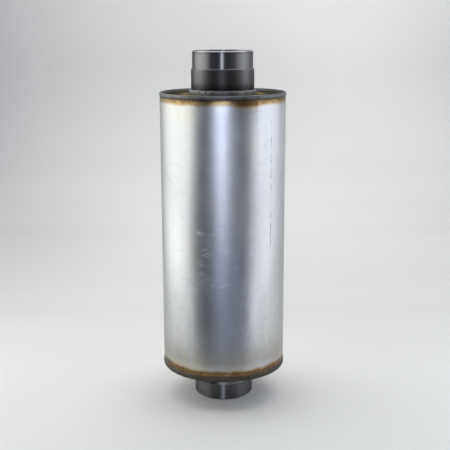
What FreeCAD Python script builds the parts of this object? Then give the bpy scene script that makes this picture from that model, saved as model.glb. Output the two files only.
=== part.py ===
import FreeCAD
import Part
import os

from FreeCAD import Vector

# In-line round muffler, standing upright on the end of its outlet neck.
# Units are millimetres. +Z is up, and the origin is on the floor, on the axis.
# The gas enters at the top, leaves the slotted inlet tube in the middle chamber,
# and is collected there by the slotted outlet tube. The two end chambers are side
# resonators, which open into the tubes through slots of their own.

# Shell: one rolled sheet, its two edges butted and welded along a straight line
shell_outer_diameter = 203.2
shell_wall = 1.9
shell_length = 456.0
seam_gap = 1.6
seam_bead_width = 3.2
seam_bead_height = 0.35
seam_angle = -41.0

# End caps: flat plates let into the shell, a little below its edges
cap_thickness = 3.0
cap_recess = 2.8
cap_to_shell_gap = 0.1
cap_to_neck_gap = 0.15

# Rim welds: from the cap's face over the shell's edge and down its outside
inlet_rim_height = 7.2
outlet_rim_height = 8.8
inlet_rim_bulge = 0.6
outlet_rim_bulge = 0.9
rim_belly_depth = 2.6
rim_crown_height = 0.9
rim_crown_inset = 1.4
rim_toe_width = 3.4

# Necks: thick turned pipe with a narrower, sized end and a bevelled lip
neck_outer_diameter = 101.6
neck_wall = 5.8
neck_step_depth = 1.9
neck_sized_length = 27.6
neck_lip_bevel = 2.0
neck_inside_length = 14.0
inlet_neck_projection = 65.8
outlet_neck_projection = 54.4

# Neck welds: tall fillets between the necks and the caps
neck_weld_width = 3.8
neck_weld_height = 7.8

# Slotted tubes: slipped over the inner ends of the necks, each closed by a plug
tube_wall = 1.6
tube_to_neck_gap = 0.1
tube_end_spacing = 28.0
slot_width = 14.0
slot_bridge = 8.0
slot_rows = 2
slots_round = 5
plug_thickness = 3.0
plug_to_tube_gap = 0.1
plug_setback = 2.0

# Baffles: flat partitions that carry the tubes' far ends
baffle_thickness = 2.0
baffle_depth = 114.0
baffle_to_shell_gap = 0.1
baffle_to_tube_gap = 0.1

# Sizes that follow from the ones above
shell_radius = shell_outer_diameter / 2
shell_inner_radius = shell_radius - shell_wall
neck_radius = neck_outer_diameter / 2
sized_radius = neck_radius - neck_step_depth
bore_radius = neck_radius - neck_wall
shell_bottom = outlet_neck_projection
shell_top = shell_bottom + shell_length
tube_inner_radius = neck_radius + tube_to_neck_gap
tube_radius = tube_inner_radius + tube_wall

# Heights of an end, measured outwards from the shell's edge and so mostly negative
cap_face = -cap_recess
cap_back = cap_face - cap_thickness
neck_inner_end = cap_back - neck_inside_length
baffle_face = -baffle_depth
baffle_back = baffle_face - baffle_thickness
tube_end = (tube_end_spacing - shell_length) / 2
plug_back = tube_end + plug_setback
plug_face = plug_back + plug_thickness

UP = Vector(0, 0, 1)
CENTRE = Vector(0, 0, 0)


def turned(outline):
    """The solid of a closed outline of (radius, height) points, turned about Z."""
    points = [Vector(radius, 0, height) for radius, height in outline]
    wire = Part.makePolygon(points + points[:1])
    return Part.Face(wire).revolve(CENTRE, UP, 360)


def ring(outer_radius, inner_radius, low, high):
    """A plain ring or tube with square edges."""
    return turned([(inner_radius, low), (outer_radius, low),
                   (outer_radius, high), (inner_radius, high)])


def at_inlet(shape):
    """Move a piece, drawn outwards from the shell's edge, to the upper edge."""
    shape.translate(Vector(0, 0, shell_top))
    return shape


def at_outlet(shape):
    """Turn such a piece upside down and move it to the lower edge."""
    shape.rotate(CENTRE, Vector(1, 0, 0), 180)
    shape.translate(Vector(0, 0, shell_bottom))
    return shape


def make_shell_and_seam():
    """The rolled sheet with its open joint, and the weld that fills the joint."""
    closed = ring(shell_radius, shell_inner_radius, shell_bottom, shell_top)
    joint = Part.makeBox(shell_radius, seam_gap, shell_length,
                         Vector(shell_radius / 2, -seam_gap / 2, shell_bottom))
    shell = closed.cut(joint)
    filling = closed.common(joint)

    # The bead stands proud of the sheet like the side of a round bar
    bar_radius = seam_bead_width ** 2 / (8 * seam_bead_height) + seam_bead_height / 2
    bead_low = shell_bottom + outlet_rim_height
    bead_high = shell_top - inlet_rim_height
    bar = Part.makeCylinder(bar_radius, bead_high - bead_low,
                            Vector(shell_radius + seam_bead_height - bar_radius, 0, bead_low))
    core = Part.makeCylinder(shell_radius, shell_length, Vector(0, 0, shell_bottom))
    seam = filling.fuse(bar.cut(core)).removeSplitter()

    shell.rotate(CENTRE, UP, seam_angle)
    seam.rotate(CENTRE, UP, seam_angle)
    return shell, seam


def make_cap():
    """The end plate with the hole for the neck."""
    return ring(shell_inner_radius - cap_to_shell_gap, neck_radius + cap_to_neck_gap,
                cap_back, cap_face)


def make_rim_weld(height, bulge):
    """The band of weld that wraps the shell's edge, from the cap's face to its outside."""
    return turned([(shell_radius, -height),
                   (shell_radius + bulge, -rim_belly_depth),
                   (shell_radius - rim_crown_inset, rim_crown_height),
                   (shell_inner_radius - rim_toe_width, cap_face),
                   (shell_inner_radius, cap_face),
                   (shell_inner_radius, 0),
                   (shell_radius, 0)])


def make_neck(projection):
    """The turned neck, with its sized end and bevelled lip outermost."""
    step = projection - neck_sized_length
    return turned([(bore_radius, projection),
                   (sized_radius - neck_lip_bevel, projection),
                   (sized_radius, projection - neck_lip_bevel),
                   (sized_radius, step),
                   (neck_radius, step - neck_step_depth),
                   (neck_radius, neck_inner_end),
                   (bore_radius, neck_inner_end)])


def make_neck_weld():
    """The fillet that stands on the cap's face and runs up the neck."""
    return turned([(neck_radius, cap_face),
                   (neck_radius + neck_weld_width, cap_face),
                   (neck_radius, cap_face + neck_weld_height)])


def slot_bars(low, high):
    """The bars that cut the rows of slots in one stretch of tube, with bridges between them."""
    length = (high - low - (slot_rows + 1) * slot_bridge) / slot_rows
    bars = []
    for row in range(slot_rows):
        start = low + slot_bridge + row * (length + slot_bridge)
        for index in range(slots_round):
            bar = Part.makeBox(tube_radius, slot_width, length,
                               Vector(tube_inner_radius / 2, -slot_width / 2, start))
            bar.rotate(CENTRE, UP, 360 * (index + row / 2) / slots_round)
            bars.append(bar)
    return bars


def make_slotted_tube():
    """The gas tube, slotted in the end chamber and again between the baffle and its plug."""
    body = ring(tube_radius, tube_inner_radius, tube_end, cap_back)
    bars = slot_bars(baffle_face, neck_inner_end) + slot_bars(plug_face, baffle_back)
    return body.cut(Part.makeCompound(bars))


def make_plug():
    """The blanking plate in the tube's inner end."""
    return Part.makeCylinder(tube_inner_radius - plug_to_tube_gap, plug_thickness,
                             Vector(0, 0, plug_back))


def make_baffle():
    """The partition that divides an end chamber from the middle one."""
    return ring(shell_inner_radius - baffle_to_shell_gap, tube_radius + baffle_to_tube_gap,
                baffle_back, baffle_face)


def make_muffler():
    """All the pieces, by name."""
    shell, seam = make_shell_and_seam()
    pieces = {"shell": shell, "shell_seam_weld": seam}
    ends = (("inlet", at_inlet, inlet_neck_projection, inlet_rim_height, inlet_rim_bulge),
            ("outlet", at_outlet, outlet_neck_projection, outlet_rim_height, outlet_rim_bulge))
    for end, placed, neck_projection, rim_height, rim_bulge in ends:
        pieces[end + "_cap"] = placed(make_cap())
        pieces[end + "_rim_weld"] = placed(make_rim_weld(rim_height, rim_bulge))
        pieces[end + "_neck"] = placed(make_neck(neck_projection))
        pieces[end + "_neck_weld"] = placed(make_neck_weld())
        pieces[end + "_tube"] = placed(make_slotted_tube())
        pieces[end + "_tube_plug"] = placed(make_plug())
        pieces[end + "_baffle"] = placed(make_baffle())
    return pieces


def main():
    os.makedirs("parts", exist_ok=True)
    for name, shape in make_muffler().items():
        shape.exportStep("parts/%s.step" % name)
        print("%-18s %10.1f mm3" % (name, shape.Volume))


main()
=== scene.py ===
import math

import bmesh
import bpy
from mathutils import Matrix, Vector, noise


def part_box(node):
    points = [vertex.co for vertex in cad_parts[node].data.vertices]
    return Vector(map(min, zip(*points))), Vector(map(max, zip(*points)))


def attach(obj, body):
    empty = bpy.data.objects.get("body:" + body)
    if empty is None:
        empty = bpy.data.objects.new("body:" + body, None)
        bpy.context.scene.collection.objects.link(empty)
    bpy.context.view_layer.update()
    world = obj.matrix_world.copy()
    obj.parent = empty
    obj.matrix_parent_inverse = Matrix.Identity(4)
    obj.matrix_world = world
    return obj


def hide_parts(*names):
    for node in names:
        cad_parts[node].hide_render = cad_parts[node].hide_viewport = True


bl_info = {
    "name": "Round Muffler",
    "version": (1, 0, 0),
    "blender": (4, 5, 0),
    "location": "3D View > Sidebar > Muffler",
    "description": "Skins, welds and metal finishes of a round muffler, built around its packed frame",
    "category": "Add Mesh",
}

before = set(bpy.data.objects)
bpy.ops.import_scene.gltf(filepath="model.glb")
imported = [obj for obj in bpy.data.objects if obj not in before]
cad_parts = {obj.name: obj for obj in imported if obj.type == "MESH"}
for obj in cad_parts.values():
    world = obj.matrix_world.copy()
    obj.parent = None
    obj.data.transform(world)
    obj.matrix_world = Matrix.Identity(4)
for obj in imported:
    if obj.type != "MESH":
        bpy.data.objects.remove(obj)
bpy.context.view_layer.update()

TURN = 2 * math.pi
QUARTER = math.pi / 2
MM = 0.001
UNSTRETCHED = (1, 1, 1)


# Measures that come from the frame

def reach(node):
    """The least and the greatest distance of a node's points from the axis."""
    far = [point.co.xy.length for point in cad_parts[node].data.vertices]
    return min(far), max(far)


def span(node):
    """The lowest and the highest height of a node."""
    low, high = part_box(node)
    return low.z, high.z


def facing(node):
    """The angle about the axis at which a node's middle lies."""
    low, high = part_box(node)
    middle = (low + high) / 2
    return math.atan2(middle.y, middle.x)


SHELL_INSIDE, SHELL_OUTSIDE = reach("shell")
SHELL_LOW, SHELL_HIGH = span("shell")
BORE, NECK_OUTSIDE = reach("inlet_neck")


class End:
    """One end of the muffler: heights there are measured outwards from the shell's edge."""

    def __init__(self, name, edge, out):
        self.name = name
        self.edge = edge
        self.out = out
        self.cap_face = max(self.depth(height) for height in span(name + "_cap"))
        self.rim_foot, self.rim_crown = sorted(self.depth(h) for h in span(name + "_rim_weld"))
        self.rim_toe, self.rim_belly = reach(name + "_rim_weld")
        self.bead_top = max(self.depth(height) for height in span(name + "_neck_weld"))
        self.bead_foot = reach(name + "_neck_weld")[1]
        self.neck_inner, self.neck_tip = sorted(self.depth(h) for h in span(name + "_neck"))

    def depth(self, height):
        """A height of the frame as a distance outwards from the shell's edge."""
        return (height - self.edge) * self.out

    def height(self, depth):
        """The frame's height of a distance outwards from the shell's edge."""
        return self.edge + depth * self.out


INLET = End("inlet", SHELL_HIGH, 1)
OUTLET = End("outlet", SHELL_LOW, -1)
ENDS = (INLET, OUTLET)


# Settings that a user would change

def number(name, description, default, **limits):
    """A number, with its unit, subtype and limits."""
    return bpy.props.FloatProperty(name=name, description=description, default=default, **limits)


def length(name, description, default):
    """A length, given in metres."""
    return number(name, description, default, subtype="DISTANCE", unit="LENGTH", precision=5)


def share(name, description, default):
    """A number from 0 to 1."""
    return number(name, description, default, min=0.0, max=1.0, subtype="FACTOR")


def angle(name, description, default):
    """An angle, given in degrees."""
    return number(name, description, math.radians(default), subtype="ANGLE", unit="ROTATION")


def strength(name, description, default):
    """A brightness, where 1 looks white."""
    return number(name, description, default, min=0.0)


def colour(name, description, default):
    """A colour of three linear parts."""
    return bpy.props.FloatVectorProperty(name=name, description=description, default=default,
                                         min=0.0, max=1.0, size=3, subtype="COLOR")


def count(name, description, default, least):
    """A whole number of steps."""
    return bpy.props.IntProperty(name=name, description=description, default=default, min=least)


class ShellSettings(bpy.types.PropertyGroup):
    steps_round: count("Steps round", "Faces round the shell", 288, 48)
    steps_up: count("Steps up", "Faces up the shell", 150, 10)
    seam_steps: count("Seam steps", "Faces up the seam weld", 560, 10)
    seam_gap: length("Seam gap", "Open joint of the sheet, which the seam weld fills", 1.6 * MM)
    seam_width: length("Seam width", "Width of the seam weld on the sheet's outside", 3.0 * MM)
    wave: length("Wave", "How far the rolled sheet strays from a true cylinder", 0.16 * MM)
    wave_length: length("Wave length", "Distance between the sheet's shallow waves", 62 * MM)
    pull: length("Weld pull", "How far the rim welds draw the sheet's edges in", 0.34 * MM)
    pull_reach: length("Pull reach", "How far from the weld the draw fades", 7 * MM)
    sheet: colour("Sheet", "Aluminised steel", (0.60, 0.61, 0.63))
    sheet_dull: colour("Dull sheet", "Aluminised steel near its lower edge", (0.545, 0.555, 0.57))
    # Painted reflection: the bluish sheet low on the front stands in for the bluish light that the front
    # reflects
    painted_reflection_blue: colour("Blue sheet", "Aluminised steel low on its front", (0.50, 0.535, 0.63))
    tarnish: colour("Tarnish", "Creamy patches on the sheet", (0.64, 0.63, 0.53))
    olive: colour("Olive", "Smoke stain above the lower rim weld", (0.45, 0.42, 0.33))
    # Painted highlight: a pale gold laid over the upper heat tint where the front highlight falls
    painted_highlight_gold: colour("Cream", "Yellow heat tint where the sheet was heated least", (0.54, 0.42, 0.19))
    straw: colour("Straw", "The palest heat tint", (0.50, 0.42, 0.30))
    gold: colour("Gold", "Heat tint nearer the weld", (0.41, 0.28, 0.13))
    rust: colour("Rust", "Heat tint where the sheet was hottest", (0.15, 0.082, 0.040))
    brown: colour("Brown", "Heat tint beside the weld", (0.125, 0.09, 0.058))
    gloss_roughness: share("Roughness", "Roughness of the clean sheet", 0.297)
    matte_roughness: share("Matte roughness", "Roughness of the sheet near its lower edge", 0.32)


class WeldSettings(bpy.types.PropertyGroup):
    rim_steps: count("Rim steps", "Faces round a rim weld", 720, 48)
    rim_wander: length("Rim wander", "Unevenness of the rim welds", 0.13 * MM)
    inlet_trim: length("Upper trim", "How far the upper rim weld's edge melts into the sheet", 2.2 * MM)
    outlet_trim: length("Lower trim", "How far the lower rim weld's edge melts into the sheet", 1.3 * MM)
    bead_steps: count("Bead steps", "Faces round a neck weld", 880, 48)
    scale_pitch: length("Scale pitch", "Distance between the scales of a neck weld", 5.2 * MM)
    rim_metal: colour("Rim weld", "Metal of the rim welds", (0.135, 0.138, 0.141))
    bead_metal: colour("Neck weld", "Metal of the neck welds", (0.20, 0.20, 0.20))
    stop_angle: angle("Stop angle", "Where the rim welds start and stop", -58.5)


class NeckSettings(bpy.types.PropertyGroup):
    steps_round: count("Steps round", "Faces round a neck", 256, 48)
    sized_length: length("Sized length", "Length of a neck's narrower end", 27.6 * MM)
    step_depth: length("Step depth", "How much nearer the axis the narrower end lies", 1.9 * MM)
    bevel: length("Bevel", "Size of the bevel on a neck's lip", 2.0 * MM)
    edge_round: length("Edge round", "Size of the rounding on a neck's turned edges", 0.35 * MM)
    steel: colour("Steel", "Turned steel of the necks", (0.215, 0.215, 0.217))
    sized_steel: colour("Sized steel", "Finer turned steel of the sized ends", (0.20, 0.20, 0.205))
    # Painted shade: the darker steel of the lower neck stands in for the shade under the shell
    shaded_lower_steel: colour("Lower steel", "Duller steel of the lower neck", (0.16, 0.16, 0.165))
    # Painted highlight: the lighter steel of the lips stands in for the light their bevels catch
    lip_highlight_steel: colour("Lip steel", "Steel of the bevelled lips", (0.34, 0.34, 0.35))
    # Painted reflection: the bright steel on the lower step stands in for the floor it reflects
    step_reflection_steel: colour("Cut steel", "Bright steel of the lower neck's step", (0.75, 0.75, 0.73))
    soot: colour("Soot", "Soot on the upper neck beside its weld", (0.022, 0.022, 0.02))


class StudioSettings(bpy.types.PropertyGroup):
    floor: colour("Floor", "Colour of the floor", (0.725, 0.725, 0.708))
    wall: colour("Wall", "Colour of the backdrop behind it", (0.915, 0.91, 0.90))
    surround: colour("Surround", "What lies beyond the floor, seen directly", (0.66, 0.67, 0.67))
    ambient: strength("Ambient", "Light from the room around", 0.11)
    left_lamp: strength("Left lamp", "Brightness of the left softbox", 1.52)
    right_lamp: strength("Right lamp", "Brightness of the right softbox", 1.45)
    front_lamp: strength("Front lamp", "Brightness of the strip behind the camera", 7.9)
    top_lamp: strength("Top lamp", "Brightness of the overhead softbox", 2.2)


SETTINGS = {"muffler_shell": ShellSettings, "muffler_welds": WeldSettings,
            "muffler_necks": NeckSettings, "muffler_studio": StudioSettings}


# Meshes

def add_piece(name, points, faces, crease=40):
    """A smooth-shaded object, with its outside outwards. Edges bent over crease degrees stay sharp."""
    mesh = bpy.data.meshes.new(name)
    mesh.from_pydata(points, [], faces)
    work = bmesh.new()
    work.from_mesh(mesh)
    bmesh.ops.recalc_face_normals(work, faces=work.faces)
    work.to_mesh(mesh)
    work.free()
    mesh.shade_smooth()
    mesh.set_sharp_from_angle(angle=math.radians(crease))
    piece = bpy.data.objects.new(name, mesh)
    bpy.context.scene.collection.objects.link(piece)
    return piece


def polar(radius, turn, height):
    """The point at a radius from the axis, an angle about it and a height."""
    return (radius * math.cos(turn), radius * math.sin(turn), height)


def joined(name, rings, closed, crease=40):
    """A solid whose surface runs from ring to ring of points. An open row of rings gets two lids."""
    size = len(rings[0])
    last = len(rings) - 1
    faces = []
    for index in range(last + 1 if closed else last):
        here = index * size
        there = (index + 1) % len(rings) * size
        for corner in range(size):
            after = (corner + 1) % size
            faces.append((here + corner, there + corner, there + after, here + after))
    if not closed:
        faces += [tuple(range(size)), tuple(range(last * size, (last + 1) * size))]
    return add_piece(name, [point for ring in rings for point in ring], faces, crease)


def swept(name, section, steps, opening=0.0, opening_at=0.0):
    """A solid swept about the axis. At each angle, section gives its closed loop of (radius, height)."""
    closed = opening == 0
    rings = []
    for step in range(steps if closed else steps + 1):
        turn = opening_at + opening / 2 + (TURN - opening) * step / steps
        rings.append([polar(radius, turn, height) for radius, height in section(turn)])
    return joined(name, rings, closed)


def rounded(line, rounds):
    """An open line with its corners cut again and again until it is smooth. Its ends stay."""
    for _ in range(rounds):
        smoother = [line[0]]
        for (r1, h1), (r2, h2) in zip(line, line[1:]):
            smoother.append((0.75 * r1 + 0.25 * r2, 0.75 * h1 + 0.25 * h2))
            smoother.append((0.25 * r1 + 0.75 * r2, 0.25 * h1 + 0.75 * h2))
        smoother.append(line[-1])
        line = smoother
    return line


def softened(loop, size):
    """A closed loop with each corner replaced by a small rounding of three points."""
    corners = [Vector(point) for point in loop]
    result = []
    for index, corner in enumerate(corners):
        before = corners[index - 1] - corner
        after = corners[(index + 1) % len(corners)] - corner
        cut_in = corner + before.normalized() * min(size, before.length / 3)
        cut_out = corner + after.normalized() * min(size, after.length / 3)
        result += [tuple(cut_in), tuple((cut_in + 2 * corner + cut_out) / 4), tuple(cut_out)]
    return result


def drift(turn, height, size, seed):
    """Smooth noise, between about -1 and 1, over a cylinder: size is its wave length."""
    return noise.noise(Vector(polar(SHELL_OUTSIDE / size, turn, height / size + seed)))


def ramp(value, low, high):
    """A smooth rise from 0 at low to 1 at high."""
    part = min(1.0, max(0.0, (value - low) / (high - low)))
    return part * part * (3 - 2 * part)


def weighted(piece):
    """Shade by the larger faces, so that the small roundings don't smear over them."""
    modifier = piece.modifiers.new("Weighted normals", "WEIGHTED_NORMAL")
    modifier.keep_sharp = True


def dress(piece, material, slot, *nodes):
    """Finish a new piece: it rides on the one body and stands for these nodes."""
    piece.data.materials.append(material)
    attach(piece, "root")
    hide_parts(*nodes)


def refinish(node, material):
    """Give a node that stays a better material."""
    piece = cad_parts[node]
    piece.data.materials.clear()
    piece.data.materials.append(material)


# Materials

class Wire:
    """A socket's value, with arithmetic that adds Math nodes."""

    def __init__(self, graph, socket):
        self.graph = graph
        self.socket = socket

    def __add__(self, other):
        return self.graph.arithmetic("ADD", self, other)

    def __sub__(self, other):
        return self.graph.arithmetic("SUBTRACT", self, other)

    def __rsub__(self, other):
        return self.graph.arithmetic("SUBTRACT", other, self)

    def __mul__(self, other):
        return self.graph.arithmetic("MULTIPLY", self, other)

    def __truediv__(self, other):
        return self.graph.arithmetic("DIVIDE", self, other)

    def __rtruediv__(self, other):
        return self.graph.arithmetic("DIVIDE", other, self)

    def __abs__(self):
        return self.graph.arithmetic("ABSOLUTE", self)

    __radd__ = __add__
    __rmul__ = __mul__


class Graph:
    """A node tree, to which nodes are added one by one."""

    def __init__(self, tree):
        self.tree = tree

    def node(self, kind, settings, sockets, output=0):
        """Add a node: its settings first, then its sockets' values or links. Gives its output's wire."""
        made = self.tree.nodes.new(kind)
        for name, value in settings.items():
            setattr(made, name, value)
        for name, value in sockets.items():
            if isinstance(value, Wire):
                self.tree.links.new(value.socket, made.inputs[name])
            else:
                made.inputs[name].default_value = value
        return made if output is None else Wire(self, made.outputs[output])

    def arithmetic(self, operation, *operands):
        """A Math node."""
        return self.node("ShaderNodeMath", {"operation": operation}, dict(enumerate(operands)))

    def parts(self, vector):
        """The three numbers of a vector."""
        apart = self.node("ShaderNodeSeparateXYZ", {}, {0: vector}, None)
        return [Wire(self, socket) for socket in apart.outputs]

    def grey(self, level):
        """The grey whose three parts are a value."""
        return self.node("ShaderNodeCombineColor", {}, {"Red": level, "Green": level, "Blue": level})

    def ramp(self, value, low, high, start=0.0, end=1.0):
        """A smooth change from start, where the value is low, to end, where it is high."""
        return self.node("ShaderNodeMapRange", {"interpolation_type": "SMOOTHSTEP"},
                         {"Value": value, "From Min": low, "From Max": high,
                          "To Min": start, "To Max": end})

    def band(self, value, start, full, last, end):
        """1 where the value lies from full to last, and less and less towards start and end."""
        return self.ramp(value, start, full) * self.ramp(value, end, last)


class Finish(Graph):
    """A material whose places are in millimetres of the frame. Without constants it is bare metal."""

    def __init__(self, name, constants=None):
        self.material = bpy.data.materials.new(name)
        self.material.use_nodes = True
        super().__init__(self.material.node_tree)
        self.shader = self.tree.nodes["Principled BSDF"]
        for socket, value in {"Metallic": 1.0, **(constants or {})}.items():
            self.shader.inputs[socket].default_value = value
        place = self.node("ShaderNodeTexCoord", {}, {}, "Object")
        self.place = self.scaled(place, (1 / MM, 1 / MM, 1 / MM))
        self.x, self.y, self.z = self.parts(self.place)

    def turn(self):
        """The angle about the axis."""
        return self.arithmetic("ARCTAN2", self.y, self.x)

    def off_axis(self):
        """The distance from the axis."""
        return self.arithmetic("SQRT", self.x * self.x + self.y * self.y)

    def scaled(self, vector, factors):
        """A vector with each part multiplied by its own factor."""
        return self.node("ShaderNodeVectorMath", {"operation": "MULTIPLY"}, {0: vector, 1: factors})

    def speckle(self, size, detail, offset=0.0, stretch=UNSTRETCHED):
        """Noise from 0 to 1 with grains of size mm, stretched by factors. Offset gives other grains."""
        vector = self.scaled(self.place, tuple(1 / (size * along) for along in stretch))
        moved = self.node("ShaderNodeVectorMath", {"operation": "ADD"}, {0: vector, 1: (offset,) * 3})
        return self.node("ShaderNodeTexNoise", {"noise_dimensions": "3D"},
                         {"Vector": moved, "Scale": 1.0, "Detail": detail, "Roughness": 0.5})

    def patches(self, low, high, size, detail, offset, stretch=UNSTRETCHED):
        """Noise with a softly cut foot and crest: 0 where it is low, 1 where it is high."""
        return self.ramp(self.speckle(size, detail, offset, stretch), low, high)

    def mix(self, factor, first, second):
        """A colour between two others."""
        return self.node("ShaderNodeMix", {"data_type": "RGBA"},
                         {"Factor": factor, 6: opaque(first), 7: opaque(second)}, 2)

    def coated(self, metal, *coats):
        """A colour with others laid over it, each given with how much of it shows."""
        for share_shown, coat in coats:
            metal = self.mix(share_shown, metal, coat)
        return metal

    def shaded(self, base, shade):
        """A colour made lighter or darker by a value."""
        return self.node("ShaderNodeMix", {"data_type": "RGBA", "blend_type": "MULTIPLY"},
                         {"Factor": 1.0, 6: opaque(base), 7: self.grey(shade)}, 2)

    def bump(self, height, distance):
        """The normal of a surface with small heights, whose full scale is distance metres."""
        return self.node("ShaderNodeBump", {}, {"Height": height, "Distance": distance}, "Normal")

    def done(self, base_color, roughness, normal=None):
        """Feed the shader and give the material."""
        feeds = {"Base Color": base_color, "Roughness": roughness, "Normal": normal}
        for name, value in feeds.items():
            socket = self.shader.inputs[name]
            if isinstance(value, Wire):
                self.tree.links.new(value.socket, socket)
            elif value is not None:
                socket.default_value = value
        return self.material


def opaque(value):
    """A colour of three parts with its alpha, or a wire as it is."""
    return value if isinstance(value, Wire) else (*value, 1.0)


def dimmed(value, factor):
    """A colour with its three parts multiplied by a factor."""
    return tuple(factor * part for part in value)


class SheetFinish(Finish):
    """Aluminised sheet: softly clouded, finely streaked, and burnt beside the rim welds."""

    def __init__(self, name, look, welds):
        super().__init__(name, {"Anisotropic": 0.4, "Specular Tint": opaque((0.78, 0.78, 0.78))})
        self.look = look
        self.stop_angle = welds.stop_angle
        self.angle = self.turn()
        self.around = self.angle * (SHELL_OUTSIDE / MM)
        self.past_stop = (self.angle - self.stop_angle) * (SHELL_OUTSIDE / MM)
        # 0 at the shell's lower edge, 1 at its upper one
        self.part_up = (self.z - SHELL_LOW / MM) / ((SHELL_HIGH - SHELL_LOW) / MM)
        self.clouds = self.speckle(34, 3.0, stretch=(1, 1, 1.6))
        self.wander = self.speckle(24, 2.0, 3.0) - 0.5
        self.set_heat(welds)

    def set_heat(self, welds):
        """How far each place lies from the rim welds, as their heat spread."""
        mottle = self.speckle(4.5, 2.0, 31.0) - 0.5
        top_foot = INLET.height(INLET.rim_foot + welds.inlet_trim) / MM
        bottom_foot = OUTLET.height(OUTLET.rim_foot + welds.outlet_trim) / MM
        plain_reach = 8.0
        # The sheet is burnt most just before the place where the welds stopped
        self.late_heat = self.band(self.past_stop, -50.0, -26.0, 0.0, 1.0)
        top_reach = 10.5 + self.late_heat * 4.5 + self.wander * 6.0 + mottle * 3.0
        self.from_top = (top_foot - self.z) * plain_reach / top_reach
        self.from_bottom = self.z - bottom_foot + self.wander * 7.0 + mottle * 0.8

    def front(self, middle, far, near, least=0.0):
        """1 at the front, to an angle of near on both sides, and least beyond far. Middle shifts it."""
        return self.ramp(abs(self.angle + (QUARTER - middle)), far, near, least, 1.0)

    def scratches(self, lean, long, wide, offset):
        """Thin lines round the sheet, long and wide in mm, leaning by an angle from level."""
        bend_length, bend_depth = 90, 6
        faint, deep = 0.775, 0.83
        along = self.around * math.cos(lean) + self.z * math.sin(lean)
        across = self.z * math.cos(lean) - self.around * math.sin(lean)
        bend = self.node("ShaderNodeTexNoise", {"noise_dimensions": "1D"},
                         {"W": along / bend_length + offset, "Scale": 1.0})
        place = self.node("ShaderNodeCombineXYZ", {},
                          {"X": along / long + offset, "Y": (across + bend * bend_depth) / wide})
        lines = self.node("ShaderNodeTexNoise", {"noise_dimensions": "2D"},
                          {"Vector": place, "Scale": 1.0, "Detail": 0.0})
        return self.ramp(lines, faint, deep)

    def scuffs(self):
        """Short slanting scratches, low on the front, where the sheet was handled."""
        handled = self.patches(0.36, 0.56, 55, 1.0, 11.0) * self.patches(0.44, 0.56, 26, 1.0, 59.0)
        place = self.front(0.0, 0.62, 0.38, 0.10) * self.band(self.part_up, 0.122, 0.2535, 0.473, 0.604)
        crossed = self.scratches(0.45, 34, 0.9, 0.0) + self.scratches(-0.35, 28, 0.9, 5.0)
        return crossed * handled * place

    def level_lines(self):
        """Faint level lines that the rollers left."""
        return self.scratches(0.0, 70, 1.8, 9.0) * self.patches(0.48, 0.62, 38, 2.0, 37.0, (1, 1, 0.6))

    def undercut_shade(self):
        """The broken line of painted shade in the undercut groove beside the seam weld."""
        seam_past_stop = (facing("shell_seam_weld") - self.stop_angle) * (SHELL_OUTSIDE / MM)
        ragged = (self.speckle(6, 2.0, 53.0) - 0.5) * 3.0
        off_seam = self.past_stop - seam_past_stop + ragged
        line = self.band(off_seam, -3.4, -2.8, -1.6, -1.0)
        broken = self.patches(0.44, 0.56, 10, 3.0, 23.0, (1, 1, 2))
        fainter_below = self.ramp(self.part_up, 0.374, 0.517, 0.2, 1.0)
        return line * broken * fainter_below * self.ramp(self.part_up, 0.944, 0.8785)

    def clean_colour(self):
        """The sheet as it came from the rollers, with its stains but without heat tint."""
        look = self.look
        dullness = self.ramp(self.part_up + self.wander * 0.132, 0.604, 0.078)
        creamy = self.patches(0.50, 0.68, 26, 2.0, 17.0, (1, 1, 2.2))
        warmed = self.ramp(self.from_top, 44.0, 12.0) * self.ramp(self.past_stop, -70.0, -115.0)
        # Painted reflection: a bluish colour low on the front, standing in for the bluish light it
        # reflects
        bluish = self.front(0.10, 0.45, 0.15) * self.ramp(self.part_up, 0.604, 0.385)
        smoke = self.ramp(self.from_bottom, 72.0, 16.0) * self.ramp(self.clouds, 0.30, 0.60)
        return self.coated(look.sheet, (dullness, look.sheet_dull),
                           (creamy * 0.25 + warmed * 0.3, look.tarnish),
                           (bluish * 0.6, look.painted_reflection_blue), (smoke * 0.75, look.olive))

    def shade(self, streaks, scuffs, lines):
        """How light the clean sheet is, from place to place."""
        haze = self.band(self.from_bottom, 15.0, 23.0, 28.0, 55.0)
        ring = self.band(self.from_bottom, 10.0, 15.0, 16.0, 22.0)
        bands = self.speckle(8, 2.0, 41.0, (1, 1, 25)) - 0.5
        dulled = self.late_heat * self.ramp(self.from_top, 32.0, 12.0)
        smudges = self.patches(0.54, 0.74, 10, 3.0, 43.0, (1, 1, 0.7))
        plain = self.clouds * 0.14 + streaks * 0.05 + bands * 0.12
        warm = ring * 0.02 - haze * 0.09 - dulled * 0.16
        # The scuffs' added lightness is partly real scratch wear and partly a painted glint where they
        # catch light
        worn = scuffs * 0.70 - lines * 0.14 - smudges * 0.09 - self.undercut_shade() * 0.50
        return plain + warm + worn

    def burn(self, metal):
        """Heat tints over the clean sheet: straw, gold and brown, ever darker towards a weld, with a
        painted highlight in the upper gold at the front and painted shade in the crevices at the welds'
        toes.
        """
        look = self.look
        near_top, near_bottom = self.from_top, self.from_bottom
        patches = self.patches(0.36, 0.62, 22, 3.0, 47.0, (1, 1, 0.4))
        blotches = self.patches(0.47, 0.64, 7, 3.0, 67.0, (1, 1, 0.5))
        # Painted highlight: the upper gold tint is paler at the front, where the highlight falls
        painted_highlight_front = self.front(-0.02, 0.20, 0.07) * 0.65
        top_gold = self.coated(look.gold, (blotches * 0.6, look.rust), (painted_highlight_front, look.painted_highlight_gold))
        bottom_gold = self.mix(patches * 0.25 + blotches * 0.35, look.rust, look.gold)
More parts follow.
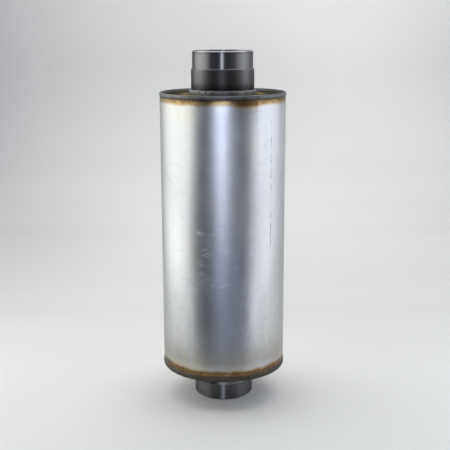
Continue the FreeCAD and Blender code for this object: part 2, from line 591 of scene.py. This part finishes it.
        # Painted shade: the crevices at the rim welds' toes are darkened
        crevice = self.ramp(near_top, 0.9, 0.3) + self.ramp(near_bottom, 0.9, 0.3) * 0.4
        painted_crevice_shade = (0.02, 0.018, 0.014)
        return self.coated(metal,
                           (self.ramp(near_top, 9.5, 5.5), look.straw),
                           (self.ramp(near_top, 7.5, 4.2), top_gold),
                           (self.ramp(near_top, 3.2 + patches * 1.8, 1.0), look.brown),
                           (self.late_heat * self.ramp(near_top, 6.5, 3.5) * 0.8, look.rust),
                           (self.ramp(near_bottom, 14.5, 9.0) * 0.8, look.straw),
                           (self.ramp(near_bottom, 11.5, 7.0), bottom_gold),
                           (self.ramp(near_bottom, 7.0 - patches * 3.5, 1.0), look.brown),
                           (crevice * 0.8, painted_crevice_shade))


def make_sheet_finish(look, welds, name, lightness):
    """The finish of the shell, and of the seam weld, which was brushed with it."""
    finish = SheetFinish(name, look, welds)
    streaks = finish.speckle(1.6, 2.0, stretch=(1, 1, 60))
    grain = finish.speckle(0.5, 1.0)
    scuffs = finish.scuffs()
    lines = finish.level_lines()
    shade = finish.shade(streaks, scuffs, lines) + lightness
    metal = finish.burn(finish.shaded(finish.clean_colour(), shade))
    wiped = finish.front(0.06, 0.34, 0.12)
    roughness = finish.ramp(finish.part_up, 0.67, 0.056, look.gloss_roughness, look.matte_roughness)
    roughness = roughness + (finish.clouds - 0.5) * 0.11 + scuffs * 0.26 + wiped * 0.06
    relief = streaks * 0.6 + grain * 0.4 - scuffs - lines
    return finish.done(metal, roughness, finish.bump(relief, 0.012 * MM))


def make_rim_finish(look):
    """Weld metal of the rims: grey, with a painted highlight high on the upper crown and painted shade on
    its inner slope, and dark brown at the lower end, partly burnt and partly painted shade.
    """
    finish = Finish("Rim weld metal")
    clouds = finish.speckle(7, 3.0, stretch=(1, 1, 0.7))
    fine = finish.speckle(0.8, 2.0)
    metal = finish.mix(clouds, dimmed(look.rim_metal, 0.55), dimmed(look.rim_metal, 1.45))
    stains = finish.patches(0.50, 0.66, 12, 3.0, 5.0)
    stain_brown = (0.10, 0.085, 0.07)
    metal = finish.mix(stains * 0.4, metal, stain_brown)
    crown = INLET.height(INLET.rim_crown) / MM
    outside = SHELL_OUTSIDE / MM
    # Painted light and shade: lighter high on the upper crown, darker on the inner slope and lower down
    painted_crown_light = finish.ramp(finish.z + clouds * 1.5, crown - 4.6, crown - 2.6, 0.75, 1.25)
    painted_inner_shade = finish.ramp(finish.off_axis(), outside - 2.0, outside - 0.2, 0.5, 1.0)
    metal = finish.shaded(metal, painted_crown_light * painted_inner_shade)
    low_edge = SHELL_LOW / MM
    # Dark brown towards the lower end: partly burnt weld metal, partly painted shade under the shell
    burnt = finish.mix(clouds, (0.030, 0.025, 0.018), (0.135, 0.112, 0.082))
    metal = finish.mix(finish.ramp(finish.z, low_edge + 15.6, low_edge + 0.6) * 0.9, metal, burnt)
    return finish.done(metal, 0.44 + clouds * 0.12, finish.bump(fine, 0.03 * MM))


def make_bead_finish(look):
    """Weld metal of the necks' beads: lighter grey than the rims, and cloudy."""
    finish = Finish("Neck weld metal")
    clouds = finish.speckle(6, 3.0)
    fine = finish.speckle(0.7, 2.0)
    metal = finish.mix(clouds, dimmed(look.bead_metal, 0.6), dimmed(look.bead_metal, 1.3))
    return finish.done(metal, 0.38 + clouds * 0.16, finish.bump(fine, 0.03 * MM))


class NeckFinish(Finish):
    """Turned steel: finely lined, smoother on the sized ends, and sooty beside the upper weld."""

    def __init__(self, look):
        super().__init__("Turned neck steel", {"Anisotropic": 1.0, "Anisotropic Rotation": 0.25,
                                               "Specular Tint": opaque((0.55, 0.55, 0.56))})
        middle_of_step = look.sized_length + look.step_depth / 2
        self.look = look
        # From -1 to 1 over a neck's width, and from its near side to its far one
        self.aside = self.x / (NECK_OUTSIDE / MM)
        self.behind = self.y / (NECK_OUTSIDE / MM)
        self.high_step = (INLET.height(INLET.neck_tip) - middle_of_step) / MM
        self.low_step = (OUTLET.height(OUTLET.neck_tip) + middle_of_step) / MM
        self.lines = self.speckle(1.1, 3.0, stretch=(400, 400, 1))
        self.clouds = self.speckle(22, 2.0)
        self.sized = (self.ramp(self.z, self.high_step - 1, self.high_step + 1)
                      + self.ramp(self.z, self.low_step + 1, self.low_step - 1))
        # The front of the wider part is rougher, and is also painted darker as shade that dims its
        # highlight
        self.dull_front_painted_dark = self.ramp(self.behind, -0.689, -0.984) * (1.0 - self.sized)

    def lips(self):
        """The bevelled lip of each end, where a painted highlight goes, and the thin painted shade
        beneath the upper one.
        """
        rounding = 0.2
        bevel = self.look.bevel / MM + rounding
        high = INLET.height(INLET.neck_tip) / MM - bevel
        low = OUTLET.height(OUTLET.neck_tip) / MM + bevel
        lip = self.ramp(self.z, high - 0.3, high + 0.3) + self.ramp(self.z, low + 0.3, low - 0.3)
        return lip, self.band(self.z, high - 2.6, high - 1.6, high - 0.6, high)

    def painted_step_reflection(self):
        """A painted reflection on the cone at the lower step: bright where it faces forwards."""
        turned = self.band(self.z, self.low_step - 1.1, self.low_step - 0.1,
                           self.low_step + 4.5, self.low_step + 7.5)
        facing_us = self.ramp(self.behind, -0.118, -0.394)
        return turned * facing_us * self.band(self.aside, -0.276, -0.157, 0.748, 0.984)

    def soot(self):
        """Soot on the foot of the upper neck."""
        foot = INLET.height(INLET.bead_top) / MM
        middle = (SHELL_LOW + SHELL_HIGH) / 2 / MM
        upper_end = self.ramp(self.z, middle, middle + 1)
        return self.ramp(self.z + self.clouds * 4, foot + 17, foot + 3) * upper_end

    def shade(self, under_lip):
        """How light the steel is, from place to place."""
        # Painted highlight: a little lighter on the upper step's chamfer
        ledge_highlight = self.ramp(abs(self.z - self.high_step), 1.9, 1.1)
        grooves = (self.patches(0.40, 0.60, 2.4, 1.0, 61.0, (400, 400, 1))
                   * self.ramp(self.z, self.low_step + 1.5, self.low_step - 2.5))
        plain = 0.74 + self.lines * 0.34 + self.clouds * 0.18
        edges = 1.0 + ledge_highlight * 0.10 - under_lip * 0.35
        # Painted shade: the front of the wider part is darkened
        return plain * edges * (1.0 - self.dull_front_painted_dark * 0.38) * (1.0 - grooves * 0.25)


def make_neck_finish(look):
    """The finish of both necks."""
    finish = NeckFinish(look)
    low_edge = SHELL_LOW / MM
    lip, under_lip = finish.lips()
    # Painted shade: the lower neck is darker, standing in for the shade under the shell
    shaded_lower_end = finish.ramp(finish.z, low_edge + 5.6, low_edge - 4.4)
    metal = finish.coated(look.steel, (finish.sized, look.sized_steel),
                          (shaded_lower_end * 0.8, look.shaded_lower_steel), (lip, look.lip_highlight_steel))
    # Painted highlight: the lips get a lighter steel, and are lighter still at their sides
    lip_side_highlight = finish.ramp(abs(finish.aside), 0.433, 0.827)
    metal = finish.shaded(metal, 1.0 + lip * lip_side_highlight * 0.5)
    # Painted reflection: bright steel on the lower step where it faces forwards
    metal = finish.coated(metal, (finish.painted_step_reflection(), look.step_reflection_steel), (finish.soot() * 0.7, look.soot))
    metal = finish.shaded(metal, finish.shade(under_lip))
    roughness = 0.50 - finish.sized * 0.17 + finish.dull_front_painted_dark * 0.16 + (finish.lines - 0.5) * 0.06
    return finish.done(metal, roughness, finish.bump(finish.lines, 0.015 * MM))


def make_cap_finish():
    """Plate steel, burnt brown round the neck, then gold, and dark towards the rim, where its darkness is
    partly the plate's own and partly painted shade of the recess under the rim.
    """
    finish = Finish("Cap plate steel", {"Specular Tint": opaque((0.30, 0.27, 0.21))})
    clouds = finish.speckle(15, 3.0)
    fine = finish.speckle(0.9, 2.0)
    from_neck = finish.off_axis() - NECK_OUTSIDE / MM + (clouds - 0.5) * 12
    gold, brown = (0.40, 0.31, 0.15), (0.045, 0.034, 0.022)
    # The dark plate colour is also painted shade, standing in for the recess under the rim weld
    dark, light = (0.035, 0.032, 0.026), (0.085, 0.078, 0.060)
    metal = finish.coated(dark, (clouds, light), (finish.ramp(from_neck, 22.0, 8.0) * 0.8, gold),
                          (finish.ramp(from_neck, 9.0, 3.0), brown))
    return finish.done(metal, 0.42 + clouds * 0.14, finish.bump(fine, 0.03 * MM))


def make_inner_finish():
    """Plain sheet of the inner parts."""
    finish = Finish("Inner sheet")
    clouds = finish.speckle(18, 3.0)
    fine = finish.speckle(0.7, 2.0, stretch=(1, 1, 8))
    metal = finish.mix(clouds, (0.22, 0.21, 0.20), (0.36, 0.35, 0.33))
    return finish.done(metal, 0.42 + clouds * 0.14, finish.bump(fine, 0.02 * MM))


def make_card_finish(look):
    """Pale card, painted a little lighter or darker from place to place, as lamps would leave it."""
    finish = Finish("Pale card", {"Metallic": 0.0, "Specular IOR Level": 0.1})
    x, y, z = finish.x, finish.y, finish.z
    off_axis = finish.off_axis()

    # Painted shade: the floor dims away from the camera, and more so at its left
    floor = finish.mix(finish.ramp(y, -150.0, 600.0), look.floor, dimmed(look.floor, 0.93))
    far_left = finish.ramp(x, -100.0, -600.0) * finish.ramp(y, 150.0, 550.0)
    floor = finish.shaded(floor, 1.0 - far_left * 0.12)

    # Painted light and shade: the backdrop is darker at its upper left and lighter at its upper right
    shaded_side = finish.ramp(x - z * 0.72, 270.0, -1530.0)
    upper_right = finish.ramp(x + z, 450.0, 1100.0)
    wall = finish.shaded(look.wall, 1.0 - shaded_side * 0.175 + upper_right * 0.11)
    card = finish.mix(finish.ramp(y, 1150.0, 1550.0), floor, wall)

    # Painted bands of light and shade across the view, and painted light under the muffler that lightens
    # its shadow
    bend_light = finish.band(y, 560.0, 1150.0, 1200.0, 1400.0)
    near_dim = finish.band(y, 40.0, 260.0, 420.0, 560.0)
    high_dim = finish.ramp(y, 1370.0, 1480.0) * finish.ramp(z, 700.0, 300.0)
    under = finish.ramp(off_axis, 420.0, 120.0) * 0.05 + finish.ramp(off_axis, 125.0, 75.0) * 0.20
    card = finish.shaded(card, 0.97 + bend_light * 0.15 - near_dim * 0.05 - high_dim * 0.08 + under)

    # Painted light: beside the camera's view, the floor that the lower shell reflects is lighter
    view_slope = 0.26
    aside = finish.ramp(abs(x) - y * view_slope, 375.0, 470.0) * finish.ramp(y, 700.0, 300.0)
    behind_right = finish.ramp(x, 0.0, 100.0) * finish.ramp(y, -60.0, 90.0)
    card = finish.shaded(card, 1.0 + aside * (0.26 - behind_right * 0.2))
    return finish.done(card, 0.9)


# Pieces

def skin_radius(height, look):
    """The outside of the sheet: drawn in a little beside each rim weld."""
    under_weld = 4 * MM
    from_ends = min(height - SHELL_LOW, SHELL_HIGH - height)
    return SHELL_OUTSIDE - look.pull * math.exp(-max(0.0, from_ends - under_weld) / look.pull_reach)


class MUFFLER_OT_shell(bpy.types.Operator):
    """Build the rolled sheet, with the shallow waves of a hand-fed roller"""

    bl_idname = "muffler.shell"
    bl_label = "Shell"

    def execute(self, context):
        look = context.scene.muffler_shell
        rise = (SHELL_HIGH - SHELL_LOW) / look.steps_up
        heights = [SHELL_LOW + rise * step for step in range(look.steps_up + 1)]
        # The waves are longer up the sheet than round it, carry finer ones, and fade near the welds
        upright, fine_share = 0.4, 0.12
        still_below, free_from = 8 * MM, 40 * MM

        def section(turn):
            outside = []
            for height in heights:
                wave = drift(turn, height * upright, look.wave_length, 0.0) * look.wave
                wave += drift(turn, height, look.wave_length / 3, 7.0) * look.wave * fine_share
                free = ramp(min(height - SHELL_LOW, SHELL_HIGH - height), still_below, free_from)
                outside.append((skin_radius(height, look) + wave * free, height))
            return outside + [(SHELL_INSIDE, SHELL_HIGH), (SHELL_INSIDE, SHELL_LOW)]

        joint = look.seam_gap / SHELL_OUTSIDE
        skin = swept("shell_skin", section, look.steps_round, joint, facing("shell_seam_weld"))
        welds = context.scene.muffler_welds
        metal = make_sheet_finish(look, welds, "Aluminised sheet", lightness=0.91)
        dress(skin, metal, "shell_sheet", "shell")
        return {"FINISHED"}


def rim_section(end, trim, look, shell):
    """What gives a rim weld's outline at an angle, with a lump where the weld stopped."""
    sunk = 0.05 * MM
    margin = 0.1 * MM
    shoulder = 0.6 * MM
    belly_depth = 2.6 * MM
    toe_rise, toe_inset = 1.2 * MM, 0.15 * MM
    lump_height, lump_length, lump_start = 0.35 * MM, 16 * MM, 1.2 * MM
    edge = skin_radius(end.height(0.0), shell) - sunk
    wall = [(SHELL_INSIDE, end.cap_face), (SHELL_INSIDE, 0.0), (edge, 0.0)]

    def section(turn):
        wander = drift(turn, 0.0, 18 * MM, 3.0 * end.out) * look.rim_wander
        past_stop = (turn - look.stop_angle) % TURN * SHELL_OUTSIDE
        lump = ramp(past_stop, lump_length, 3 * MM) * ramp(past_stop, 0.0, lump_start) * lump_height
        foot = end.rim_foot + trim + wander * 2 - lump * 1.5
        belly = end.rim_belly + wander * 0.6 + lump * 0.6 - margin
        line = rounded([(skin_radius(end.height(foot), shell) - sunk, foot),
                        (belly - toe_inset, foot + toe_rise),
                        (belly, -belly_depth),
                        (belly - shoulder, end.rim_crown - 0.2 * MM + wander),
                        (SHELL_INSIDE - shoulder, end.rim_crown + wander * 0.6),
                        (end.rim_toe, end.cap_face)], 3)
        return [(radius, end.height(depth)) for radius, depth in line + wall]

    return section


class MUFFLER_OT_rim_welds(bpy.types.Operator):
    """Build the bands of weld that wrap the shell's edges"""

    bl_idname = "muffler.rim_welds"
    bl_label = "Rim Welds"

    def execute(self, context):
        look = context.scene.muffler_welds
        metal = make_rim_finish(look)
        for end, trim in zip(ENDS, (look.inlet_trim, look.outlet_trim)):
            section = rim_section(end, trim, look, context.scene.muffler_shell)
            band = swept(end.name + "_rim_band", section, look.rim_steps)
            dress(band, metal, "rim_weld_metal", end.name + "_rim_weld")
        return {"FINISHED"}


def seam_loop(at, height, proud, shell):
    """The seam weld's outline at a height, as points of (radius, distance beside its middle)."""
    half_width = shell.seam_width / 2
    half_joint = shell.seam_gap / 2
    across = 8
    fullness = 0.35
    ripple_size = 1.1 * MM
    sunk, foot_depth = 0.04 * MM, 0.3 * MM
    ripple = 0.8 + 0.2 * abs(math.sin(height / ripple_size)) + 0.25 * drift(at, height, 9 * MM, 2.0)
    base = skin_radius(height, shell)
    foot = base - foot_depth
    loop = []
    for index in range(across + 1):
        off = half_width * (2 * index / across - 1)
        crown = proud * fullness * ripple * (1 - (off / half_width) ** 2)
        loop.append((base - sunk + crown, off))
    return loop + [(foot, half_joint), (SHELL_INSIDE, half_joint),
                   (SHELL_INSIDE, -half_joint), (foot, -half_joint)]


class MUFFLER_OT_seam(bpy.types.Operator):
    """Build the straight weld that closes the rolled sheet"""

    bl_idname = "muffler.seam"
    bl_label = "Seam Weld"

    def execute(self, context):
        shell = context.scene.muffler_shell
        low, high = span("shell_seam_weld")
        proud = reach("shell_seam_weld")[1] - SHELL_OUTSIDE
        at = facing("shell_seam_weld")
        rings = []
        for step in range(shell.seam_steps + 1):
            height = low + (high - low) * step / shell.seam_steps
            rings.append([polar(radius, at + off / SHELL_OUTSIDE, height)
                          for radius, off in seam_loop(at, height, proud, shell)])
        seam = joined("seam_bead", rings, closed=False, crease=60)
        welds = context.scene.muffler_welds
        metal = make_sheet_finish(shell, welds, "Seam weld metal", lightness=0.92)
        dress(seam, metal, "seam_metal", "shell_seam_weld")
        return {"FINISHED"}


class MUFFLER_OT_necks(bpy.types.Operator):
    """Build the turned necks, with small roundings on their edges"""

    bl_idname = "muffler.necks"
    bl_label = "Necks"

    def execute(self, context):
        look = context.scene.muffler_necks
        metal = make_neck_finish(look)
        sized = NECK_OUTSIDE - look.step_depth
        for end in ENDS:
            tip = end.neck_tip
            step = tip - look.sized_length
            loop = softened([(BORE, tip), (sized - look.bevel, tip), (sized, tip - look.bevel),
                             (sized, step), (NECK_OUTSIDE, step - look.step_depth),
                             (NECK_OUTSIDE, end.neck_inner), (BORE, end.neck_inner)], look.edge_round)
            outline = [(radius, end.height(depth)) for radius, depth in loop]
            neck = swept(end.name + "_turned_neck", lambda turn, line=outline: line, look.steps_round)
            weighted(neck)
            dress(neck, metal, "neck_steel", end.name + "_neck")
        return {"FINISHED"}


def bead_section(end, look):
    """What gives a neck weld's outline at an angle."""
    arc_points = 12
    fullness = 0.6
    filling, scale_size, lump_size = 0.96, 0.07, 0.24
    scales = round(TURN * NECK_OUTSIDE / look.scale_pitch)
    width = end.bead_foot - NECK_OUTSIDE
    rise = end.bead_top - end.cap_face

    def section(turn):
        phase = turn * scales + 2.5 * drift(turn, 0.0, 30 * MM, 5.0 * end.out)
        scale = abs(math.sin(phase / 2))
        lump = drift(turn, 0.0, 11 * MM, 9.0 * end.out)
        loop = [(NECK_OUTSIDE, end.cap_face)]
        for index in range(arc_points + 1):
            lean = QUARTER * index / arc_points
            size = filling + (scale_size * scale + lump_size * lump) * math.sin(2 * lean)
            out = width * size * abs(math.cos(lean)) ** fullness
            up = rise * size * abs(math.sin(lean)) ** fullness
            loop.append((NECK_OUTSIDE + out, end.cap_face + up))
        return [(radius, end.height(depth)) for radius, depth in loop]

    return section


class MUFFLER_OT_neck_welds(bpy.types.Operator):
    """Build the scaled beads between the necks and the caps"""

    bl_idname = "muffler.neck_welds"
    bl_label = "Neck Welds"

    def execute(self, context):
        look = context.scene.muffler_welds
        metal = make_bead_finish(look)
        for end in ENDS:
            bead = swept(end.name + "_neck_bead", bead_section(end, look), look.bead_steps)
            dress(bead, metal, "neck_weld_metal", end.name + "_neck_weld")
        return {"FINISHED"}


class MUFFLER_OT_plates(bpy.types.Operator):
    """Give the caps and the parts inside their finishes"""

    bl_idname = "muffler.plates"
    bl_label = "Caps and Inner Parts"

    def execute(self, context):
        plate = make_cap_finish()
        inner = make_inner_finish()
        for end in ENDS:
            refinish(end.name + "_cap", plate)
            for part in ("_tube", "_tube_plug", "_baffle"):
                refinish(end.name + part, inner)
        return {"FINISHED"}


def add_lamp(name, place, facing_to, size, brightness, tint, fade):
    """A softbox: brightness is how bright it looks, and fade shapes that over its face."""
    data = bpy.data.lights.new(name, "AREA")
    data.shape = "RECTANGLE"
    data.size, data.size_y = size
    data.color = tint
    data.energy = brightness * math.pi * data.size * data.size_y
    data.use_nodes = True
    graph = Graph(data.node_tree)
    graph.tree.nodes.clear()
    across, up, _ = graph.parts(graph.node("ShaderNodeNewGeometry", {}, {}, "Parametric"))
    glow = graph.node("ShaderNodeEmission", {}, {"Color": graph.grey(fade(graph, across, up))})
    graph.node("ShaderNodeOutputLight", {}, {"Surface": glow}, None)
    lamp = bpy.data.objects.new(name, data)
    lamp.location = place
    lamp.rotation_euler = Vector(facing_to).to_track_quat("-Z", "Y").to_euler()
    lamp.visible_camera = False
    bpy.context.scene.collection.objects.link(lamp)


# How bright a softbox is over its face, where across and up run from 0 to 1

def fade_left(graph, across, up):
    """Full at its middle and dim at its back side. Above, its front side fades further back."""
    above = graph.ramp(up, 0.46, 0.60)
    leaning = across + graph.ramp(up, 0.27, 0.47, 0.05, -0.045)
    lower_front = graph.ramp(leaning, 0.917, 0.706) * (1.0 - above)
    upper_front = graph.ramp(across, 0.83, 0.54) * above * 1.4
    back = graph.ramp(across, 0.49, 0.115, 1.0, 0.08)
    foot = graph.ramp(up, 0.26, 0.17, 1.0, 1.30)
    dip = graph.band(up, 0.21, 0.26, 0.35, 0.41)
    return (lower_front + upper_front) * foot * back * (1.0 - dip * 0.13)


def fade_right(graph, across, up):
    """As the left one, with a faint glow along its front side, and dimmer low down at its back."""
    above = graph.ramp(up, 0.46, 0.60)
    leaning = across - graph.ramp(up, 0.20, 0.27, 0.0, 0.03)
    front = graph.ramp(leaning, 0.20, 0.37) * (1.0 - above) + graph.ramp(across, 0.33, 0.54) * above
    glow = graph.ramp(across, 0.0, 0.12, 0.0, 0.07) * (1.0 - above)
    back = graph.ramp(across, 0.54, 0.884, 1.0, 0.2)
    foot = graph.ramp(up, 0.26, 0.17, 1.0, 1.28)
    dip = graph.band(up, 0.19, 0.25, 0.35, 0.42)
    low = graph.ramp(up, 0.36, 0.25) * graph.ramp(up, 0.15, 0.24, 0.8, 1.0)
    low_back = low * graph.ramp(across, 0.46, 0.74)
    return (front * 0.93 + glow) * back * foot * (1.0 - dip * 0.23) * (1.0 - low_back * 0.66)


def fade_strip(graph, across, up):
    """Brightest in its middle, almost gone at its foot, and narrower there."""
    left_edge = graph.ramp(up, 0.40, 0.18, -0.6, 0.35)
    foot = graph.ramp(up, 0.05, 0.39) * graph.ramp(up, 0.38, 0.45, 0.86, 1.0)
    head = graph.ramp(up, 0.46, 0.68, 1.0, 0.35)
    return foot * head * graph.ramp(across - left_edge, 0.0, 0.35)


def fade_forwards(graph, across, up):
    """A little dimmer at the side towards the camera."""
    return graph.ramp(up, 0.20, 0.45, 0.8, 1.0)


class MUFFLER_OT_studio(bpy.types.Operator):
    """Build the floor and backdrop, the softboxes and the camera"""

    bl_idname = "muffler.studio"
    bl_label = "Studio"

    def execute(self, context):
        look = context.scene.muffler_studio
        self.add_sweep(look)
        self.add_lamps(look)
        self.add_surround(look)
        self.add_camera(context)
        return {"FINISHED"}

    def add_sweep(self, look):
        """One sheet of card: a floor that ends in front of the muffler, and curves up behind it."""
        front, back, top, side = -0.27, 1.6, 2.3, 1.7
        bend = 0.5
        bend_steps = 24
        line = [(front, 0.0), (back - bend, 0.0)]
        for step in range(1, bend_steps + 1):
            lean = QUARTER * step / bend_steps
            line.append((back - bend + bend * math.sin(lean), bend - bend * math.cos(lean)))
        line.append((back, top))
        points = [(x, y, z) for y, z in line for x in (-side, side)]
        faces = [(2 * i, 2 * i + 1, 2 * i + 3, 2 * i + 2) for i in range(len(line) - 1)]
        sweep = add_piece("sweep", points, faces, 60)
        sweep.data.materials.append(make_card_finish(look))

    def add_lamps(self, look):
        """Softboxes at both sides and above, and a tall strip behind the camera."""
        add_lamp("left_softbox", place=(-0.8, 0.15, 0.5), facing_to=(1, 0, 0), size=(2.4, 2.0),
                 brightness=look.left_lamp, tint=(0.985, 1.0, 0.955), fade=fade_left)
        add_lamp("right_softbox", place=(0.8, -0.15, 0.5), facing_to=(-1, 0, 0), size=(2.5, 2.0),
                 brightness=look.right_lamp, tint=(0.905, 0.935, 1.0), fade=fade_right)
        add_lamp("front_strip", place=(-0.10, -2.4, 0.6), facing_to=(0, 1, 0), size=(0.40, 3.0),
                 brightness=look.front_lamp, tint=(0.77, 0.82, 1.0), fade=fade_strip)
        add_lamp("top_softbox", place=(0.1, 0.4, 2.2), facing_to=(0, 0, -1), size=(2.4, 2.4),
                 brightness=look.top_lamp, tint=(1.0, 1.0, 1.0), fade=fade_forwards)

    def add_surround(self, look):
        """The room's faint bluish light, and a pale surround that only the camera sees."""
        world = bpy.data.worlds.new("Surround")
        world.use_nodes = True
        bpy.context.scene.world = world
        graph = Graph(world.node_tree)
        graph.tree.nodes.clear()
        bluish = (0.76, 0.85, 1.0)
        room = graph.node("ShaderNodeBackground", {}, {"Color": opaque(bluish), "Strength": look.ambient})
        seen = graph.node("ShaderNodeBackground", {}, {"Color": opaque(look.surround)})
        by_camera = graph.node("ShaderNodeLightPath", {}, {}, "Is Camera Ray")
        chosen = graph.node("ShaderNodeMixShader", {}, {"Fac": by_camera, 1: room, 2: seen})
        graph.node("ShaderNodeOutputWorld", {}, {"Surface": chosen}, None)

    def add_camera(self, context):
        """The camera, where the photo was taken from."""
        photo_pixels, focal_pixels = 450, 865.1
        sensor = 36.0
        place = (0.0030, -1.4043, 0.6087)
        tilt, roll = math.radians(12.75), math.radians(-0.17)
        data = bpy.data.cameras.new("camera")
        data.sensor_width = sensor
        data.lens = focal_pixels * sensor / photo_pixels
        camera = bpy.data.objects.new("camera", data)
        camera.matrix_world = (Matrix.Translation(place) @ Matrix.Rotation(QUARTER - tilt, 4, "X")
                               @ Matrix.Rotation(roll, 4, "Z"))
        context.scene.collection.objects.link(camera)
        context.scene.camera = camera
        context.scene.view_settings.view_transform = "Standard"


OPERATORS = (MUFFLER_OT_shell, MUFFLER_OT_seam, MUFFLER_OT_rim_welds, MUFFLER_OT_necks,
             MUFFLER_OT_neck_welds, MUFFLER_OT_plates, MUFFLER_OT_studio)


class MUFFLER_PT_sidebar(bpy.types.Panel):
    """The steps that build the muffler's looks"""

    bl_label = "Muffler"
    bl_space_type = "VIEW_3D"
    bl_region_type = "UI"
    bl_category = "Muffler"

    def draw(self, context):
        for operator in OPERATORS:
            self.layout.operator(operator.bl_idname)


CLASSES = (*SETTINGS.values(), *OPERATORS, MUFFLER_PT_sidebar)


def register():
    for made in CLASSES:
        bpy.utils.register_class(made)
    for name, settings in SETTINGS.items():
        setattr(bpy.types.Scene, name, bpy.props.PointerProperty(type=settings))


def unregister():
    for name in SETTINGS:
        delattr(bpy.types.Scene, name)
    for made in reversed(CLASSES):
        bpy.utils.unregister_class(made)


def main():
    register()
    for operator in OPERATORS:
        group, step = operator.bl_idname.split(".")
        getattr(getattr(bpy.ops, group), step)()


if __name__ == "__main__":
    main()
